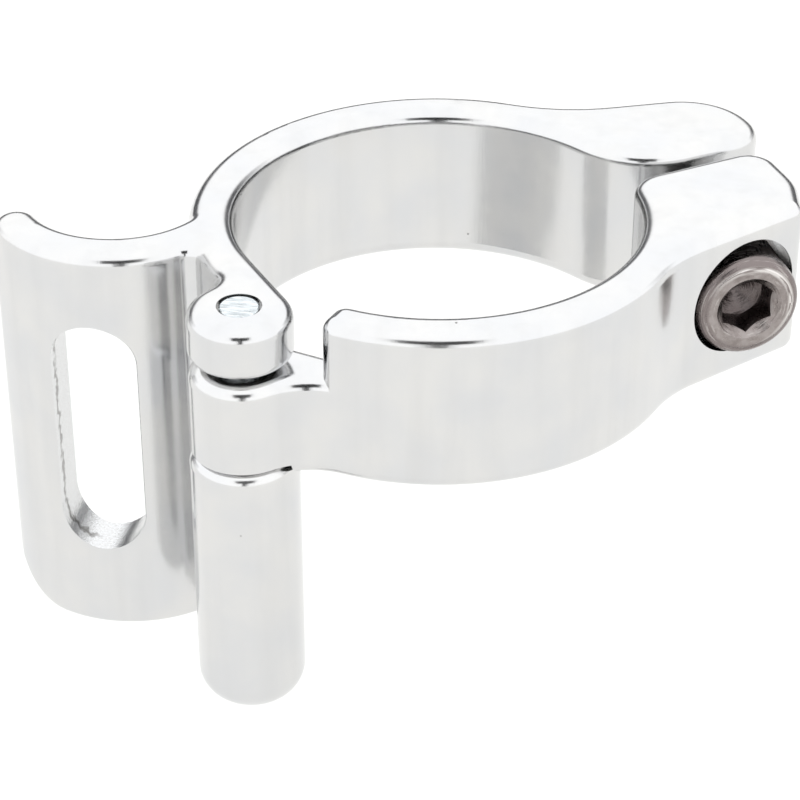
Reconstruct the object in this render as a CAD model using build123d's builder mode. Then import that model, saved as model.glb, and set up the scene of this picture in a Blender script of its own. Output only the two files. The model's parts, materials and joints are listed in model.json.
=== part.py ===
from build123d import *
from math import acos, cos, degrees, radians, sin, sqrt
import os

# Hinged band clamp that carries a front derailleur on a bicycle's seat tube.
# Frame: the origin is on the axis of the tube's bore, halfway up the band, and Z is up along the tube.
# The saddle's slot runs through along Y, and the hinge and the clamp bolt's head are on the -Y side.

# ---- driving dimensions, in mm; depths are below the top face ----
TUBE_D = 31.8  # seat tube that the clamp closes on
WALL = 3.5  # radial thickness of the band
BAND_H = 13.4  # height of the band and of both ears
EDGE_R = 1.2  # rounding of the long edges

# hinge
HINGE_DISTANCE = 20.95  # pin axis from the bore's axis
HINGE_ANGLE = -122.9  # where the pin stands round the bore
KNUCKLE_R = 4.0
KNUCKLE_EDGE_R = 1.2
UPPER_KNUCKLE_H = 4.3
ARM_KNUCKLE_TOP = 4.9
BARREL_TOP = 12.5
BARREL_BOTTOM = 35.5
BARREL_R = 4.2
BARREL_END_R = 2.6  # rounding of the barrel's lower end
RIM_R = 1.0  # rounding of the barrel's upper rim and of the upper knuckle's lower rim
END_RELIEF = 0.8  # cut in the web round that end
AXIAL_PLAY = 0.2  # between the arm's knuckle and the barrel
POCKET_PLAY = 0.35  # round the arm's knuckle
NECK_R = 5.5  # concave blend of the arm's knuckle into the band
ROOT_R = 2.2  # concave blend of the body's knuckle into the band
PIN_D = 3.0
PIN_LENGTH = 25.0
PIN_RECESS = 0.05  # pin's end below the top face
PIN_END_CHAMFER = 0.1
PIN_MOUTH = 0.2  # width of the shallow counterbore round the pin's upper end
PIN_MOUTH_DEPTH = 0.9
RUNNING_PLAY = 0.05  # radial play of the arm on its pin, and of the bolt in its thread

# saddle that the derailleur bolts to
SADDLE_X = -25.1
SADDLE_Y = -2.36
SADDLE_R = 7.0
SADDLE_WALL = 3.6
SADDLE_START = -137.3  # direction of the rounded free edge, seen from the saddle's centre
SADDLE_END = -18.0  # direction where the wall has merged into the band
SADDLE_H = 34.9
SADDLE_CORNER_R = 4.8
SADDLE_ROOT_R = 1.2  # concave blends of the saddle into the band
FAR_ROOT_ANGLE = -24.0  # about where the hollow side meets the band, seen from the saddle's centre
NEAR_ROOT_ANGLE = -41.0  # about where the outer side meets the band
TALL_END_ANGLE = -172.0  # where the full height stops round the band
HINGE_HALF_ANGLE = 12.0  # how far the full height goes past the hinge
LOW_SIDE = (130, 60, 0, -60)  # directions round the side that stays at the band's height
LOW_EDGE_R = 0.6  # rounding of the saddle's bottom edges
SLOT_X = -24.7
SLOT_W = 6.85
SLOT_TOP = 6.4
SLOT_BOTTOM = 27.3

# ears, in axes turned by GAP_ANGLE: x along the gap, y towards the threaded ear
GAP_ANGLE = 37.5
EAR_START = 8.0  # where the ears' outlines start and end, inside the bore
BODY_GAP_Y = -0.6  # the body's face of the gap
ARM_GAP_Y = -2.2  # the arm's face of the gap
BODY_CORNER_R = 8.0  # lead-in where the gap meets the bore, on the body
ARM_CORNER_R = 2.4  # the same corner on the arm
BODY_EAR_TIP = (29.7, BODY_GAP_Y)
BODY_EAR_TIP_R = 2.8
BODY_EAR_OUTER = (30.4, 7.2)
BODY_EAR_OUTER_R = 6.0
BODY_EAR_ROOT = (14.0, 11.41)
BODY_EAR_BLEND_R = 15.0
BODY_EAR_BLEND_ANGLE = 71.6  # where the ear's outer side leaves the band
ARM_EAR_TIP = (28.2, ARM_GAP_Y)
ARM_EAR_TIP_R = 2.6
ARM_EAR_MIDDLE = (27.6, -8.5)
ARM_EAR_MIDDLE_R = 6.0
ARM_EAR_OUTER = (25.75, -12.1)
ARM_EAR_OUTER_R = 1.3
ARM_EAR_ROOT = (11.4, -14.63)
ARM_EAR_BLEND_R = 12.0
ARM_EAR_BLEND_ANGLE = -10.2
ARM_END_ANGLE = -106.2  # end of the arm's band above the hinge
ARM_END_R = 1.3

# clamp bolt, M5 x 16 socket cap screw; lengths run back from the head's front face
HEAD_X = 24.53  # centre of the head's front face
HEAD_Y = 0.68
BOLT_ANGLE = -63.5  # direction that the head looks
BOLT_D = 5.0
BOLT_LENGTH = 16.0
BOLT_TIP_CHAMFER = 0.6
HEAD_D = 8.5
HEAD_H = 5.0
HEAD_EDGE_R = 0.9
SOCKET_AF = 4.0
SOCKET_DEPTH = 2.6
SOCKET_POINT = 1.1  # depth of the drilled cone in the socket's floor
SOCKET_MOUTH_D = 5.3
BOLT_HOLE_D = 6.3  # clearance hole in the arm's ear
COUNTERBORE_D = 9.5
COUNTERBORE_RISE = 0.42  # counterbore's centre above the bolt's axis
WASHER_D = 8.4
WASHER_HOLE_D = 5.1
WASHER_T = 1.0
WASHER_CHAMFER = 0.15
WASHER_PLAY = 0.3  # washer above the floor of the counterbore while the clamp is loose

# ---- places worked out from the dimensions ----
BORE_R = TUBE_D / 2
BAND_R = BORE_R + WALL
TOP = BAND_H / 2
BAND_BOTTOM = TOP - BAND_H
TAPPED_TO = 40.0
SADDLE_BOTTOM = TOP - SADDLE_H
FAR = 90.0  # a reach past every surface
CUT_ANGLES = (70, 130)  # outer corners of the cut that leaves half a ring, from the gap
STEP_LAP = 1.5 * KNUCKLE_EDGE_R  # how far the arm's upper band reaches down into the lower
HINGE = Vector(HINGE_DISTANCE, 0).rotate(Axis.Z, HINGE_ANGLE)
SADDLE = Vector(SADDLE_X, SADDLE_Y)
SADDLE_TIP = SADDLE + Vector(SADDLE_R + SADDLE_WALL / 2, 0).rotate(Axis.Z, SADDLE_START)
SADDLE_TIP_X = SADDLE_TIP.X - SADDLE_WALL / 2
EARS = Plane.XY.rotated((0, 0, GAP_ANGLE))
HEAD_FACE = Plane(
    origin=(HEAD_X, HEAD_Y, 0),
    x_dir=(0, 0, 1),
    z_dir=(cos(radians(BOLT_ANGLE)), sin(radians(BOLT_ANGLE)), 0),
)
HEAD_AXIS = Axis(HEAD_FACE.origin, HEAD_FACE.z_dir)
COUNTERBORE_FLOOR = HEAD_H + WASHER_T + WASHER_PLAY
ARM_KNUCKLE_BOTTOM = TOP - BARREL_TOP + AXIAL_PLAY


def polar(radius, angle):
    """Point at a radius and angle round the bore."""
    return Vector(radius, 0).rotate(Axis.Z, angle)


def on_ears(x, y):
    """Point in the model's axes from one in the ears' axes."""
    return EARS.from_local_coords(Vector(x, y))


def tangent_points(side):
    """Ends of the line that touches the bore on one side and the knuckle on the other."""
    spread = side * degrees(acos((BORE_R + KNUCKLE_R) / HINGE_DISTANCE))
    on_bore = polar(BORE_R, HINGE_ANGLE + spread)
    on_knuckle = HINGE + polar(KNUCKLE_R, HINGE_ANGLE + 180 + spread)
    return on_bore, on_knuckle


def nearest(shape, *points):
    """The corners of a shape that lie nearest to each of some points."""
    return [shape.vertices().sort_by_distance(point)[0] for point in points]


def half_ring(gap_y, ear, corner_r, side, end_points):
    """Plan of half the band and its ear; side is -1 for the body and 1 for the arm.

    The half runs from the gap at gap_y, rounded by corner_r at the bore, to the line through end_points.
    """
    with BuildSketch() as plan:
        Circle(BAND_R)
        with BuildLine():
            Polyline(*[on_ears(x, y) for x, y in ear], close=True)
        make_face()
        Circle(BORE_R, mode=Mode.SUBTRACT)
        with BuildLine():
            Polyline(
                on_ears(0, gap_y),
                on_ears(FAR, gap_y),
                *[polar(FAR, GAP_ANGLE + side * angle) for angle in CUT_ANGLES],
                *end_points,
                (0, 0),
                close=True,
            )
        make_face(mode=Mode.SUBTRACT)
        inner_corner = on_ears(sqrt(BORE_R**2 - gap_y**2), gap_y)
        fillet(nearest(plan, inner_corner), corner_r)
    return plan.sketch


def hinge_end(side):
    """Outline of a half's end at the hinge, from outside the band in to its bore."""
    on_bore, on_knuckle = tangent_points(side)
    return polar(FAR, HINGE_ANGLE), HINGE, on_knuckle, on_bore


# ---- clamp body: half band, threaded ear, saddle, and the fork of the hinge ----
# each ear's outline starts and ends inside the bore, which is cut out after it
BODY_EAR = [
    (EAR_START, BODY_GAP_Y),
    BODY_EAR_TIP,
    BODY_EAR_OUTER,
    BODY_EAR_ROOT,
    (EAR_START, EAR_START),
]
knuckle_meets_band = degrees(
    acos((BAND_R**2 + HINGE_DISTANCE**2 - KNUCKLE_R**2) / (2 * BAND_R * HINGE_DISTANCE))
)
with BuildSketch() as body_plan:
    add(half_ring(BODY_GAP_Y, BODY_EAR, BODY_CORNER_R, -1, hinge_end(-1)))
    with Locations(HINGE):
        Circle(KNUCKLE_R)
    fillet(nearest(body_plan, on_ears(*BODY_EAR_TIP)), BODY_EAR_TIP_R)
    fillet(nearest(body_plan, on_ears(*BODY_EAR_OUTER)), BODY_EAR_OUTER_R)
    fillet(nearest(body_plan, polar(BAND_R, BODY_EAR_BLEND_ANGLE)), BODY_EAR_BLEND_R)
    fillet(nearest(body_plan, polar(BAND_R, HINGE_ANGLE - knuckle_meets_band)), ROOT_R)

with BuildSketch() as saddle_plan:
    with BuildLine():
        near = CenterArc(SADDLE, SADDLE_R + SADDLE_WALL, SADDLE_START, SADDLE_END - SADDLE_START)
        far = CenterArc(SADDLE, SADDLE_R, SADDLE_START, SADDLE_END - SADDLE_START)
        Line(near @ 0, far @ 0)
        Line(near @ 1, far @ 1)
    make_face()
    with Locations(SADDLE + polar(SADDLE_R + SADDLE_WALL / 2, SADDLE_START)):
        Circle(SADDLE_WALL / 2)

with BuildSketch() as top_plan:
    add(body_plan.sketch)
    add(saddle_plan.sketch)
    Circle(BORE_R, mode=Mode.SUBTRACT)
    far_root = SADDLE + polar(SADDLE_R, FAR_ROOT_ANGLE)
    near_root = SADDLE + polar(SADDLE_R + SADDLE_WALL, NEAR_ROOT_ANGLE)
    fillet(nearest(top_plan, far_root, near_root), SADDLE_ROOT_R)

# the saddle, its web and the hinge are taller than the band
with BuildSketch() as tall_plan:
    add(top_plan.sketch)
    with BuildLine():
        Polyline(
            (0, 0),
            *[polar(FAR, angle) for angle in (TALL_END_ANGLE, *LOW_SIDE)],
            polar(FAR, HINGE_ANGLE + HINGE_HALF_ANGLE),
            close=True,
        )
    make_face(mode=Mode.SUBTRACT)

with BuildPart() as clamp_body:
    with BuildSketch(Plane.XY.offset(TOP)):
        add(top_plan.sketch)
    extrude(amount=-BAND_H)
    with BuildSketch(Plane.XY.offset(BAND_BOTTOM)):
        add(tall_plan.sketch)
    extrude(amount=BAND_H - SADDLE_H)
    fillet(clamp_body.faces().sort_by(Axis.Z)[-1].edges(), EDGE_R)
    band_face = clamp_body.faces().filter_by_position(Axis.Z, BAND_BOTTOM - 0.01, BAND_BOTTOM + 0.01)[0]
    step = polar((BORE_R + BAND_R) / 2, TALL_END_ANGLE) + Vector(0, 0, BAND_BOTTOM)
    fillet(band_face.edges().sort_by_distance(step)[1:], EDGE_R)

    # the saddle's free lower corner, rounded in front view
    with BuildSketch(Plane.XZ):
        with Locations((SADDLE_TIP_X, SADDLE_BOTTOM)):
            Rectangle(2 * SADDLE_CORNER_R, 2 * SADDLE_CORNER_R)
        with Locations((SADDLE_TIP_X + SADDLE_CORNER_R, SADDLE_BOTTOM + SADDLE_CORNER_R)):
            Circle(SADDLE_CORNER_R, mode=Mode.SUBTRACT)
    extrude(amount=FAR, both=True, mode=Mode.SUBTRACT)
    fillet(clamp_body.faces().sort_by(Axis.Z)[0].edges(), LOW_EDGE_R)

    # hinge: the barrel with its turned end, the pocket for the arm's knuckle, and the pin's hole
    with BuildSketch(Plane.XY.offset(TOP - BARREL_BOTTOM)):
        with Locations(HINGE):
            Circle(BARREL_R)
    extrude(amount=BARREL_BOTTOM - BARREL_TOP)
    with BuildSketch(Plane(origin=HINGE, x_dir=(1, 0, 0), z_dir=(0, -1, 0))):
        with BuildLine():
            end = TOP - BARREL_BOTTOM
            shoulder = Line((BARREL_R, end + BARREL_END_R), (BARREL_R + END_RELIEF, end + BARREL_END_R))
            outside = Line(shoulder @ 1, (BARREL_R + END_RELIEF, SADDLE_BOTTOM - 1))
            below = Line(outside @ 1, (0, SADDLE_BOTTOM - 1))
            middle = Line(below @ 1, (0, end))
            flat = Line(middle @ 1, (BARREL_R - BARREL_END_R, end))
            CenterArc((BARREL_R - BARREL_END_R, end + BARREL_END_R), BARREL_END_R, -90, 90)
        make_face()
    revolve(axis=Axis(HINGE, (0, 0, 1)), mode=Mode.SUBTRACT)
    with BuildSketch(Plane.XY.offset(TOP - BARREL_TOP)):
        with Locations(HINGE):
            Circle(KNUCKLE_R + POCKET_PLAY)
    extrude(amount=BARREL_TOP - UPPER_KNUCKLE_H, mode=Mode.SUBTRACT)
    knuckle_front = HINGE + polar(KNUCKLE_R, HINGE_ANGLE) + Vector(0, 0, TOP - UPPER_KNUCKLE_H)
    fillet(clamp_body.edges().filter_by(GeomType.CIRCLE).sort_by_distance(knuckle_front)[0], RIM_R)
    with BuildSketch(Plane(origin=HINGE, x_dir=(1, 0, 0), z_dir=(0, -1, 0))):
        with BuildLine():
            rim = TOP - BARREL_TOP
            rim_face = Line((BARREL_R - RIM_R, rim), (KNUCKLE_R + POCKET_PLAY, rim))
            pocket_wall = Line(rim_face @ 1, (KNUCKLE_R + POCKET_PLAY, rim - RIM_R))
            Line(pocket_wall @ 1, (BARREL_R, rim - RIM_R))
            CenterArc((BARREL_R - RIM_R, rim - RIM_R), RIM_R, 0, 90)
        make_face()
    revolve(axis=Axis(HINGE, (0, 0, 1)), mode=Mode.SUBTRACT)
    with Locations(Location((HINGE.X, HINGE.Y, TOP))):
        CounterBoreHole(PIN_D / 2, PIN_D / 2 + PIN_MOUTH, PIN_MOUTH_DEPTH, depth=PIN_RECESS + PIN_LENGTH)

    # the slot through the saddle
    with BuildSketch(Plane.XZ.offset(FAR)):
        with Locations((SLOT_X, TOP - (SLOT_TOP + SLOT_BOTTOM) / 2)):
            SlotOverall(SLOT_BOTTOM - SLOT_TOP, SLOT_W, rotation=90)
    extrude(amount=-FAR, mode=Mode.SUBTRACT)

    # threaded hole for the clamp bolt
    with BuildSketch(HEAD_FACE.offset(-TAPPED_TO)):
        Circle(BOLT_D / 2)
    extrude(amount=TAPPED_TO, mode=Mode.SUBTRACT)
clamp_body.part.label = "clamp_body"


# ---- hinged arm: front half band, its knuckle, and the ear that the bolt passes through ----
ARM_EAR = [
    (EAR_START, ARM_GAP_Y),
    ARM_EAR_TIP,
    ARM_EAR_MIDDLE,
    ARM_EAR_OUTER,
    ARM_EAR_ROOT,
    (EAR_START, -EAR_START),
]


def round_arm_ear(plan):
    """Round the corners of the arm's ear in plan."""
    fillet(nearest(plan, on_ears(*ARM_EAR_TIP)), ARM_EAR_TIP_R)
    fillet(nearest(plan, on_ears(*ARM_EAR_MIDDLE)), ARM_EAR_MIDDLE_R)
    fillet(nearest(plan, on_ears(*ARM_EAR_OUTER)), ARM_EAR_OUTER_R)
    fillet(nearest(plan, polar(BAND_R, ARM_EAR_BLEND_ANGLE)), ARM_EAR_BLEND_R)


with BuildSketch() as arm_plan:
    add(half_ring(ARM_GAP_Y, ARM_EAR, ARM_CORNER_R, 1, hinge_end(1)))
    with Locations(HINGE):
        Circle(KNUCKLE_R)
    round_arm_ear(arm_plan)
    fillet(nearest(arm_plan, polar(BAND_R, HINGE_ANGLE + knuckle_meets_band)), NECK_R)

# above the knuckle the arm's band stops short of the hinge
with BuildSketch() as arm_top_plan:
    add(half_ring(ARM_GAP_Y, ARM_EAR, ARM_CORNER_R, 1, [polar(FAR, ARM_END_ANGLE)]))
    round_arm_ear(arm_top_plan)
    fillet(nearest(arm_top_plan, polar(BORE_R, ARM_END_ANGLE), polar(BAND_R, ARM_END_ANGLE)), ARM_END_R)

with BuildPart() as hinged_arm:
    with BuildSketch(Plane.XY.offset(BAND_BOTTOM)):
        add(arm_plan.sketch)
    extrude(amount=BAND_H - ARM_KNUCKLE_TOP)
    fillet(hinged_arm.faces().sort_by(Axis.Z)[-1].edges(), KNUCKLE_EDGE_R)
    fillet(hinged_arm.faces().sort_by(Axis.Z)[0].edges(), EDGE_R)
    # the band above starts a little lower, so that it covers the rounded edge it stands on
    with BuildSketch(Plane.XY.offset(TOP)):
        add(arm_top_plan.sketch)
    extrude(amount=-ARM_KNUCKLE_TOP - STEP_LAP)
    fillet(hinged_arm.faces().sort_by(Axis.Z)[-1].edges(), EDGE_R)

    # recess that clears the top of the barrel
    with BuildSketch(Plane.XY.offset(BAND_BOTTOM)):
        with Locations(HINGE):
            Circle(BARREL_R + POCKET_PLAY)
    extrude(amount=ARM_KNUCKLE_BOTTOM - BAND_BOTTOM, mode=Mode.SUBTRACT)
    with Locations(Location((HINGE.X, HINGE.Y, TOP))):
        Hole(PIN_D / 2 + RUNNING_PLAY, depth=BAND_H)
    # clearance hole and counterbore for the bolt
    with BuildSketch(HEAD_FACE.offset(FAR - HEAD_H)):
        Circle(BOLT_HOLE_D / 2)
    extrude(amount=-FAR - BOLT_LENGTH, mode=Mode.SUBTRACT)
    with BuildSketch(HEAD_FACE.offset(-COUNTERBORE_FLOOR)):
        with Locations((COUNTERBORE_RISE, 0)):
            Circle(COUNTERBORE_D / 2)
    extrude(amount=FAR, mode=Mode.SUBTRACT)
hinged_arm.part.label = "hinged_arm"


# ---- hinge pin, pressed into the body's barrel and upper knuckle ----
with BuildPart() as hinge_pin:
    with BuildSketch(Plane.XY.offset(TOP - PIN_RECESS)):
        with Locations(HINGE):
            Circle(PIN_D / 2)
    extrude(amount=-PIN_LENGTH)
    chamfer(hinge_pin.edges().filter_by(GeomType.CIRCLE), PIN_END_CHAMFER)
hinge_pin.part.label = "hinge_pin"


# ---- clamp bolt, its length along the bolt's axis ----
with BuildPart() as clamp_bolt:
    with BuildSketch(HEAD_FACE):
        Circle(HEAD_D / 2)
    extrude(amount=-HEAD_H)
    fillet(clamp_bolt.faces().sort_by(HEAD_AXIS)[-1].edges(), HEAD_EDGE_R)
    with BuildSketch(HEAD_FACE.offset(-HEAD_H)):
        Circle(BOLT_D / 2 - RUNNING_PLAY)
    extrude(amount=-BOLT_LENGTH)
    chamfer(clamp_bolt.faces().sort_by(HEAD_AXIS)[0].edges(), BOLT_TIP_CHAMFER)
    with BuildSketch(HEAD_FACE):
        RegularPolygon(SOCKET_AF / 2, 6, major_radius=False)
    extrude(amount=-SOCKET_DEPTH, mode=Mode.SUBTRACT)
    # the drilled point in the socket's floor, and the chamfered mouth
    top_end = (Align.CENTER, Align.CENTER, Align.MAX)
    with Locations(HEAD_FACE.offset(-SOCKET_DEPTH)):
        Cone(0, SOCKET_AF / 2, SOCKET_POINT, align=top_end, mode=Mode.SUBTRACT)
    mouth_depth = (SOCKET_MOUTH_D - SOCKET_AF) / 2
    with Locations(HEAD_FACE):
        Cone(SOCKET_AF / 2, SOCKET_MOUTH_D / 2, mouth_depth, align=top_end, mode=Mode.SUBTRACT)
clamp_bolt.part.label = "clamp_bolt"


# ---- washer between the bolt's head and the floor of the counterbore ----
with BuildPart() as bolt_washer:
    with BuildSketch(HEAD_FACE.offset(-HEAD_H)):
        Circle(WASHER_D / 2)
        Circle(WASHER_HOLE_D / 2, mode=Mode.SUBTRACT)
    extrude(amount=-WASHER_T)
    outer_rims = bolt_washer.edges().sort_by(SortBy.LENGTH)[-2:]
    chamfer(outer_rims, WASHER_CHAMFER)
bolt_washer.part.label = "bolt_washer"


os.makedirs("parts", exist_ok=True)
for piece in (clamp_body, hinged_arm, hinge_pin, clamp_bolt, bolt_washer):
    export_step(piece.part, f"parts/{piece.part.label}.step")
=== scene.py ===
import json
import math

import bpy
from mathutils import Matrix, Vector


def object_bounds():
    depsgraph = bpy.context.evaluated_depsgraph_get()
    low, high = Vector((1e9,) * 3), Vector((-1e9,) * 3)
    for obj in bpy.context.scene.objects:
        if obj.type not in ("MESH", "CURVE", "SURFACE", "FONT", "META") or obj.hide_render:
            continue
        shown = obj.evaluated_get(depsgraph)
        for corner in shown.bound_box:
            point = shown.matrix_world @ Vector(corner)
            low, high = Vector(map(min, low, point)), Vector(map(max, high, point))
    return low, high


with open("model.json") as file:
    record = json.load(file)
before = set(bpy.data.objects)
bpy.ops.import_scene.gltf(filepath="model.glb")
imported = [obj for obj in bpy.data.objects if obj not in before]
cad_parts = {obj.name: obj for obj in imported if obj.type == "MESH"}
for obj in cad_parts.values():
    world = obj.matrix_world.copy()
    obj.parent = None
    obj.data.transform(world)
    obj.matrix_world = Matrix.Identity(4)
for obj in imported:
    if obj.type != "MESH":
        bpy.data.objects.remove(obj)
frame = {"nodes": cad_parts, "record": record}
cad_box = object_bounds()
scene = bpy.context.scene

MM = 0.001

# ---- places that the materials need, from the part's record ----
RECORD = frame["record"]
BOLT_TURN = next(joint for joint in RECORD["behaviour"]["joints"] if joint["name"] == "bolt_turn")
BOLT_AXIS = Vector(BOLT_TURN["axis"])  # points out of the head
HEAD_CENTRE = Vector(BOLT_TURN["pos_m"])  # on the head's front face
SLOT_MOUNT = next(mount for mount in RECORD["mounts"] if mount["name"] == "derailleur_slot")
SLOT_CENTRE = Vector(SLOT_MOUNT["pos_m"])
SLOT_WIDTH = 6.85 * MM
SLOT_LENGTH = 20.9 * MM
BURR_Y = -10.7 * MM  # about where the burr runs on the slot's wall
HEAD_LENGTH = 5.0 * MM
SOCKET_RADIUS = 2.6 * MM  # at the chamfered mouth
RIM_RADIUS = 3.45 * MM  # where the head's face turns into its rounded rim
THREAD_PITCH = 0.8 * MM

# ---- the set ----
FLOOR_SIZE = 6.0
FLOOR_DROP = 30 * MM  # the part is held up, a little above the paper
FLOOR_COLOUR = (0.80, 0.795, 0.78, 1)
SKY_COLOUR = (0.99, 0.995, 1.0, 1)
SKY_STRENGTH = 1.45

# ---- the dark strip of room that the far edges mirror, in a ring round the part ----
CARD_COLOUR = (0.10, 0.10, 0.105, 1)
CARD_REACH = 1.0
CARD_MIDDLE = math.radians(101.7)
CARD_HALF_ANGLE = math.radians(78)
CARD_FADE_ANGLE = math.radians(35)
CARD_HEIGHT = 0.12
CARD_HALF_HEIGHT = 0.26
CARD_FADE_HEIGHT = 0.12
CARD_STEPS = 24

# ---- the camera, at the photograph's angle ----
CAMERA_PLACE = (0.03441, -0.1806, 0.10875)
CAMERA_AZIMUTH = math.radians(11.71)
CAMERA_DOWN = math.radians(33.14)
CAMERA_LENS = 121.6  # mm
CAMERA_SENSOR = 36.0  # mm
CAMERA_NEAR = 0.005

# ---- the photographer's camera and its stand, as seen in the polished edges; metres, in camera axes ----
CAMERA_BODY = (-0.07, -0.045, 0.07, 0.045)
CAMERA_STAND = (-0.022, -0.16, 0.022, -0.045)
CAMERA_BLACK = (0.012, 0.012, 0.013, 1)
BEHIND_LENS = 0.03

# ---- shading of the CAD nodes ----
SHARP_ANGLE = math.radians(35)  # an edge sharper than this stays sharp
WELD_DISTANCE = 0.001 * MM

# ---- metals ----
PIT_SPACING = 2.6 * MM
POLISH_RELIEF = 0.02 * MM
STEEL_RELIEF = 0.05 * MM
NICKEL_RELIEF = 0.05 * MM
SCRATCH_TURN = math.radians(-50)  # direction of the scratches on the pin's end
POLISH_COOL = (0.655, 0.66, 0.67, 1)
POLISH_WARM = (0.70, 0.697, 0.69, 1)
POLISH_DULL = (0.60, 0.60, 0.60, 1)
PIT_COLOUR = (0.30, 0.29, 0.28, 1)
MILLED_LIGHT = (0.72, 0.73, 0.74, 1)
MILLED_DARK = (0.60, 0.60, 0.60, 1)
BURR_COLOUR = (0.26, 0.255, 0.25, 1)
STEEL_LIGHT = (0.79, 0.83, 0.85, 1)
STEEL_DARK = (0.55, 0.59, 0.61, 1)
NICKEL_LIGHT = (0.36, 0.325, 0.315, 1)
NICKEL_DARK = (0.235, 0.205, 0.195, 1)
# painted shade: the darker band on the head's rounded rim
NICKEL_RIM_SHADE = (0.22, 0.19, 0.185, 1)
# painted highlight, partly wear: the bright line along the upper side of the rim
NICKEL_WORN_HIGHLIGHT = (0.70, 0.67, 0.65, 1)
NICKEL_SCUFFED = (0.55, 0.52, 0.50, 1)
# painted shade deep in the hex socket
SOCKET_SHADE = (0.075, 0.06, 0.06, 1)


# ---- short ways to write shader nodes ----
def node(tree, kind, **settings):
    made = tree.nodes.new(kind)
    for key, value in settings.items():
        setattr(made, key, value)
    return made


def feed(tree, socket, value):
    """Put a number, a vector or another node's output into a socket."""
    if isinstance(value, bpy.types.NodeSocket):
        tree.links.new(value, socket)
    else:
        socket.default_value = value


def calc(tree, operation, a, b=0.0):
    made = node(tree, "ShaderNodeMath", operation=operation)
    feed(tree, made.inputs[0], a)
    feed(tree, made.inputs[1], b)
    return made.outputs[0]


def calc_vector(tree, operation, a, b):
    """A vector sum whose result is a vector, or a number for a dot product or a length."""
    made = node(tree, "ShaderNodeVectorMath", operation=operation)
    feed(tree, made.inputs[0], a)
    feed(tree, made.inputs[1], b)
    return made.outputs["Value" if operation in ("DOT_PRODUCT", "LENGTH") else "Vector"]


def away_from(tree, value, centre):
    """How far a value is from a centre, either way."""
    return calc(tree, "ABSOLUTE", calc(tree, "SUBTRACT", value, centre))


def between(tree, value, low, high, out_low=0.0, out_high=1.0):
    """Map the stretch of a value from low to high onto another stretch, and hold it at the ends."""
    made = node(tree, "ShaderNodeMapRange", clamp=True)
    feed(tree, made.inputs["Value"], value)
    made.inputs["From Min"].default_value = low
    made.inputs["From Max"].default_value = high
    made.inputs["To Min"].default_value = out_low
    made.inputs["To Max"].default_value = out_high
    return made.outputs["Result"]


def mix(tree, data_type, factor, a, b):
    made = node(tree, "ShaderNodeMix", data_type=data_type)
    feed(tree, made.inputs["Factor"], factor)
    feed(tree, made.inputs["A"], a)
    feed(tree, made.inputs["B"], b)
    return made.outputs["Result"]


def split(tree, vector):
    """The X, Y and Z of a vector."""
    made = node(tree, "ShaderNodeSeparateXYZ")
    feed(tree, made.inputs[0], vector)
    return made.outputs


def cad_place(tree):
    """Where a point is in the CAD frame, in metres."""
    return node(tree, "ShaderNodeTexCoord").outputs["Object"]


def noise(tree, place, size, stretch=(1, 1, 1), detail=3.0, turn=0.0):
    """Noise with spots of a size in metres, longer along an axis where stretch is above 1."""
    mapping = node(tree, "ShaderNodeMapping", vector_type="POINT")
    feed(tree, mapping.inputs["Vector"], place)
    mapping.inputs["Rotation"].default_value = (0, 0, turn)
    mapping.inputs["Scale"].default_value = [1 / length for length in stretch]
    texture = node(tree, "ShaderNodeTexNoise")
    feed(tree, texture.inputs["Vector"], mapping.outputs[0])
    texture.inputs["Scale"].default_value = 1 / size
    texture.inputs["Detail"].default_value = detail
    return texture.outputs["Fac"]


def bump(tree, shader, height, distance):
    made = node(tree, "ShaderNodeBump")
    made.inputs["Strength"].default_value = 1.0
    made.inputs["Distance"].default_value = distance
    feed(tree, made.inputs["Height"], height)
    tree.links.new(made.outputs["Normal"], shader.inputs["Normal"])


def new_material(name, metallic=0.0, roughness=0.9):
    """A material, with its node tree and its shader."""
    material = bpy.data.materials.new(name)
    material.use_nodes = True
    shader = material.node_tree.nodes["Principled BSDF"]
    shader.inputs["Metallic"].default_value = metallic
    shader.inputs["Roughness"].default_value = roughness
    return material, material.node_tree, shader


# ---- camera, floor, light and the cards that only reflections see ----
def flat_mesh(name, corners, faces, material):
    """A mesh object from its corners and faces, in metres."""
    mesh = bpy.data.meshes.new(name)
    mesh.from_pydata(corners, [], faces)
    mesh.materials.append(material)
    piece = bpy.data.objects.new(name, mesh)
    scene.collection.objects.link(piece)
    return piece


def for_reflections_only(card):
    """Keep a card out of direct view and out of the soft light."""
    card.visible_camera = False
    card.visible_diffuse = False
    card.visible_shadow = False


def rectangle(x0, y0, x1, y1):
    return [(x0, y0), (x1, y0), (x1, y1), (x0, y1)]


def make_camera():
    data = bpy.data.cameras.new("camera")
    data.lens = CAMERA_LENS
    data.sensor_width = CAMERA_SENSOR
    data.clip_start = CAMERA_NEAR
    camera = bpy.data.objects.new("camera", data)
    camera.location = CAMERA_PLACE
    camera.rotation_euler = (math.pi / 2 - CAMERA_DOWN, 0, CAMERA_AZIMUTH)
    scene.collection.objects.link(camera)
    scene.camera = camera


def make_floor():
    material, _, shader = new_material("floor_paper")
    shader.inputs["Base Color"].default_value = FLOOR_COLOUR
    half = FLOOR_SIZE / 2
    height = cad_box[0].z - FLOOR_DROP
    corners = [(x, y, height) for x, y in rectangle(-half, -half, half, half)]
    flat_mesh("floor", corners, [(0, 1, 2, 3)], material)


def make_camera_card():
    """The dark camera and its stand, which the polished edges mirror."""
    material, _, shader = new_material("camera_black")
    shader.inputs["Base Color"].default_value = CAMERA_BLACK
    bpy.context.view_layer.update()
    to_world = scene.camera.matrix_world
    corners = []
    for shape in (CAMERA_BODY, CAMERA_STAND):
        corners += [to_world @ Vector((x, y, BEHIND_LENS)) for x, y in rectangle(*shape)]
    for_reflections_only(flat_mesh("camera_card", corners, [(0, 1, 2, 3), (4, 5, 6, 7)], material))


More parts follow.
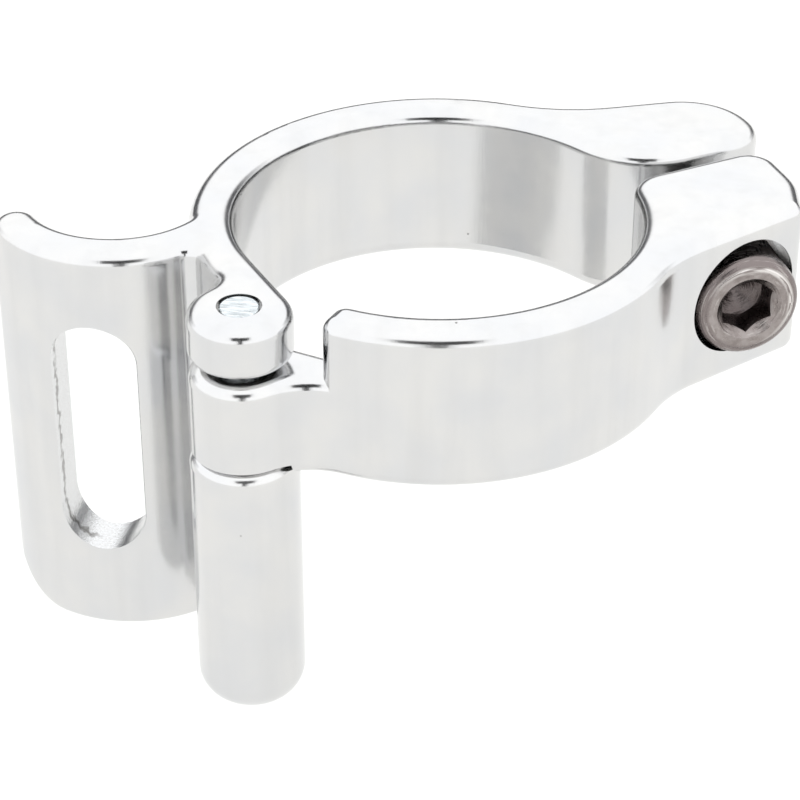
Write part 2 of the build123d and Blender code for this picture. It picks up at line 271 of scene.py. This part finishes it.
def soft_grey():
    """Dark grey that fades out towards the ends and the edges of the strip that it is on."""
    material, tree, shader = new_material("room_grey")
    shader.inputs["Base Color"].default_value = CARD_COLOUR
    place = split(tree, cad_place(tree))
    azimuth = calc(tree, "ARCTAN2", place["Y"], place["X"])
    fade_in = CARD_HALF_ANGLE - CARD_FADE_ANGLE
    ends = between(tree, away_from(tree, azimuth, CARD_MIDDLE), CARD_HALF_ANGLE, fade_in)
    fade_up = CARD_HALF_HEIGHT - CARD_FADE_HEIGHT
    edges = between(tree, away_from(tree, place["Z"], CARD_HEIGHT), CARD_HALF_HEIGHT, fade_up)
    feed(tree, shader.inputs["Alpha"], calc(tree, "MULTIPLY", ends, edges))
    return material


def make_back_card():
    """A dark strip of room behind the set, above the far edge of the paper."""
    corners = []
    for step in range(CARD_STEPS + 1):
        angle = CARD_MIDDLE + CARD_HALF_ANGLE * (2 * step / CARD_STEPS - 1)
        for height in (CARD_HEIGHT - CARD_HALF_HEIGHT, CARD_HEIGHT + CARD_HALF_HEIGHT):
            corners.append((CARD_REACH * math.cos(angle), CARD_REACH * math.sin(angle), height))
    faces = [(2 * step, 2 * step + 2, 2 * step + 3, 2 * step + 1) for step in range(CARD_STEPS)]
    for_reflections_only(flat_mesh("back_card", corners, faces, soft_grey()))


def make_sky():
    world = bpy.data.worlds.new("sky")
    world.use_nodes = True
    background = world.node_tree.nodes["Background"]
    background.inputs["Color"].default_value = SKY_COLOUR
    background.inputs["Strength"].default_value = SKY_STRENGTH
    scene.world = world


# ---- polished aluminium ----
def slot_walls(tree, place):
    """1 on the walls of the saddle's slot and 0 elsewhere."""
    parts = split(tree, place)
    across = calc(tree, "SUBTRACT", parts["X"], SLOT_CENTRE.x)
    straight = (SLOT_LENGTH - SLOT_WIDTH) / 2
    past_straight = calc(tree, "SUBTRACT", away_from(tree, parts["Z"], SLOT_CENTRE.z), straight)
    past_straight = calc(tree, "MAXIMUM", past_straight, 0.0)
    squares = calc(tree, "ADD", calc(tree, "POWER", across, 2.0), calc(tree, "POWER", past_straight, 2.0))
    wall = SLOT_WIDTH / 2
    return between(tree, calc(tree, "SQRT", squares), wall + 0.06 * MM, wall + 0.02 * MM)


def slot_burr(tree, place):
    """A dark ragged line down one wall of the slot, where the cutter left a burr near the outer face."""
    parts = split(tree, place)
    wander = calc(tree, "MULTIPLY", noise(tree, place, 0.8 * MM, detail=6.0), 1.8 * MM)
    off_line = away_from(tree, calc(tree, "ADD", parts["Y"], wander), BURR_Y)
    line = between(tree, off_line, 0.34 * MM, 0.12 * MM)
    broken = between(tree, noise(tree, place, 2.2 * MM), 0.34, 0.42)
    one_wall = between(tree, parts["X"], SLOT_CENTRE.x - 0.5 * MM, SLOT_CENTRE.x - 1.5 * MM)
    return calc(tree, "MULTIPLY", calc(tree, "MULTIPLY", line, broken), one_wall)


def pits(tree, place):
    """1 in a few pits of about 0.1 mm and 0 elsewhere."""
    cells = node(tree, "ShaderNodeTexVoronoi")
    feed(tree, cells.inputs["Vector"], place)
    cells.inputs["Scale"].default_value = 1 / PIT_SPACING
    chosen = node(tree, "ShaderNodeSeparateColor")
    feed(tree, chosen.inputs[0], cells.outputs["Color"])
    in_pit = between(tree, cells.outputs["Distance"], 0.045, 0.02)
    return calc(tree, "MULTIPLY", in_pit, between(tree, chosen.outputs["Red"], 0.72, 0.76))


def polished_aluminium():
    """Polished aluminium: faint clouds, fine upright lines and pits, and milled walls in the slot."""
    material, tree, shader = new_material("polished_aluminium", metallic=1.0)
    place = cad_place(tree)
    clouds = noise(tree, place, 5 * MM, detail=5.0)
    streaks = noise(tree, place, 1.6 * MM, stretch=(1, 1, 14))
    lines = noise(tree, place, 0.12 * MM, stretch=(1, 1, 30), detail=2.0)
    grain = noise(tree, place, 0.16 * MM, detail=4.0)
    pit = pits(tree, place)
    milled = slot_walls(tree, place)

    tone = mix(tree, "RGBA", between(tree, clouds, 0.35, 0.65), POLISH_COOL, POLISH_WARM)
    tone = mix(tree, "RGBA", between(tree, streaks, 0.45, 0.75, 0.0, 0.35), tone, POLISH_DULL)
    tone = mix(tree, "RGBA", pit, tone, PIT_COLOUR)
    wall_tone = mix(tree, "RGBA", between(tree, grain, 0.3, 0.7), MILLED_DARK, MILLED_LIGHT)
    wall_tone = mix(tree, "RGBA", slot_burr(tree, place), wall_tone, BURR_COLOUR)
    feed(tree, shader.inputs["Base Color"], mix(tree, "RGBA", milled, tone, wall_tone))

    polish = between(tree, clouds, 0.3, 0.7, 0.12, 0.21)
    feed(tree, shader.inputs["Roughness"], mix(tree, "FLOAT", milled, polish, 0.16))
    polish_relief = calc(tree, "SUBTRACT", calc(tree, "MULTIPLY", lines, 0.1), pit)
    milled_relief = calc(tree, "MULTIPLY", grain, 1.2)
    bump(tree, shader, mix(tree, "FLOAT", milled, polish_relief, milled_relief), POLISH_RELIEF)
    return material


# ---- steel and nickel ----
def ground_steel():
    """The pin's ground end, crossed by scratches from the press."""
    material, tree, shader = new_material("pin_steel", metallic=1.0)
    scratches = noise(tree, cad_place(tree), 0.22 * MM, stretch=(7, 0.9, 1), turn=SCRATCH_TURN)
    tone = mix(tree, "RGBA", between(tree, scratches, 0.42, 0.6), STEEL_DARK, STEEL_LIGHT)
    feed(tree, shader.inputs["Base Color"], tone)
    feed(tree, shader.inputs["Roughness"], between(tree, scratches, 0.35, 0.7, 0.18, 0.42))
    bump(tree, shader, scratches, STEEL_RELIEF)
    return material


def bolt_coordinates(tree, place):
    """A point's depth behind the head's face, its height and distance off the bolt's axis, and its angle."""
    from_face = calc_vector(tree, "SUBTRACT", place, HEAD_CENTRE)
    depth = calc_vector(tree, "DOT_PRODUCT", from_face, -BOLT_AXIS)
    along = node(tree, "ShaderNodeVectorMath", operation="SCALE")
    along.inputs[0].default_value = -BOLT_AXIS
    feed(tree, along.inputs["Scale"], depth)
    off_axis = calc_vector(tree, "SUBTRACT", from_face, along.outputs["Vector"])
    radius = calc_vector(tree, "LENGTH", off_axis, (0, 0, 0))
    sideways = calc_vector(tree, "DOT_PRODUCT", off_axis, BOLT_AXIS.cross(Vector((0, 0, 1))))
    height = split(tree, off_axis)["Z"]
    return depth, radius, height, sideways, calc(tree, "ARCTAN2", height, sideways)


def dark_nickel(name):
    """Dark nickel plating: turning marks, painted shade on the rounded rim, a painted highlight partly
    standing for wear along the rim's upper side, painted shade deep in the socket, and a thread's relief.
    """
    material, tree, shader = new_material(name, metallic=1.0)
    place = cad_place(tree)
    depth, radius, height, sideways, angle = bolt_coordinates(tree, place)
    turned = node(tree, "ShaderNodeCombineXYZ")
    feed(tree, turned.inputs["X"], radius)
    feed(tree, turned.inputs["Y"], depth)
    feed(tree, turned.inputs["Z"], calc(tree, "MULTIPLY", angle, 1.2 * MM))
    rings = noise(tree, turned.outputs[0], 0.22 * MM, stretch=(1, 1, 3.5), detail=4.0)
    clouds = noise(tree, place, 0.9 * MM, detail=6.0)

    tone = mix(tree, "RGBA", between(tree, clouds, 0.35, 0.65), NICKEL_DARK, NICKEL_LIGHT)
    # Painted shade: a darker band where the head's face turns into its rounded rim, so that the rounding
    # shows as a ring of its own.
    rim_shade = between(tree, radius, RIM_RADIUS - 0.2 * MM, RIM_RADIUS + 0.05 * MM)
    tone = mix(tree, "RGBA", rim_shade, tone, NICKEL_RIM_SHADE)
    # Painted highlight, partly wear: a bright line on the rim, kept to its upper side where the light falls
    # and broken up by the turning marks.
    rim_line = between(tree, away_from(tree, radius, RIM_RADIUS), 0.3 * MM, 0.1 * MM)
    upper_side = between(tree, calc(tree, "SUBTRACT", height, sideways), -2 * MM, 3 * MM)
    worn_highlight = calc(tree, "MULTIPLY", rim_line, upper_side)
    worn_highlight = calc(tree, "MULTIPLY", worn_highlight, between(tree, rings, 0.36, 0.5))
    tone = mix(tree, "RGBA", worn_highlight, tone, NICKEL_WORN_HIGHLIGHT)
    tone = mix(tree, "RGBA", between(tree, rings, 0.58, 0.66, 0.0, 0.5), tone, NICKEL_SCUFFED)
    # Painted shade: the socket darkens with depth behind the head's face, standing in for the shade inside
    # it.
    inside = between(tree, radius, SOCKET_RADIUS + 0.1 * MM, SOCKET_RADIUS - 0.15 * MM)
    socket_shade = calc(tree, "MULTIPLY", inside, between(tree, depth, 0.3 * MM, 1.2 * MM, 0.0, 0.75))
    feed(tree, shader.inputs["Base Color"], mix(tree, "RGBA", socket_shade, tone, SOCKET_SHADE))
    feed(tree, shader.inputs["Roughness"], between(tree, clouds, 0.3, 0.7, 0.2, 0.34))

    groove = between(tree, away_from(tree, radius, RIM_RADIUS + 0.15 * MM), 0.0, 0.12 * MM)
    pitches = calc(tree, "DIVIDE", depth, THREAD_PITCH)
    turns = calc(tree, "SUBTRACT", pitches, calc(tree, "DIVIDE", angle, math.tau))
    on_shank = between(tree, depth, HEAD_LENGTH, HEAD_LENGTH + 0.1 * MM, 0.0, 14.0)
    thread = calc(tree, "MULTIPLY", calc(tree, "PINGPONG", turns, 0.5), on_shank)
    bump(tree, shader, calc(tree, "ADD", calc(tree, "ADD", groove, rings), thread), NICKEL_RELIEF)
    return material


def dress(name, material):
    """Give a CAD node its material, and shade its roundings smoothly."""
    piece = frame["nodes"][name]
    piece.data.materials.clear()
    piece.data.materials.append(material)
    for polygon in piece.data.polygons:
        polygon.use_smooth = True
    weld = piece.modifiers.new("weld", "WELD")
    weld.merge_threshold = WELD_DISTANCE
    parting = piece.modifiers.new("parting", "EDGE_SPLIT")
    parting.split_angle = SHARP_ANGLE
    normals = piece.modifiers.new("normals", "WEIGHTED_NORMAL")
    normals.keep_sharp = True


make_camera()
make_floor()
make_camera_card()
make_back_card()
make_sky()
scene.view_settings.view_transform = "Standard"

aluminium = polished_aluminium()
dress("clamp_body", aluminium)
dress("hinged_arm", aluminium)
dress("hinge_pin", ground_steel())
dress("clamp_bolt", dark_nickel("bolt_nickel"))
dress("bolt_washer", dark_nickel("washer_nickel"))
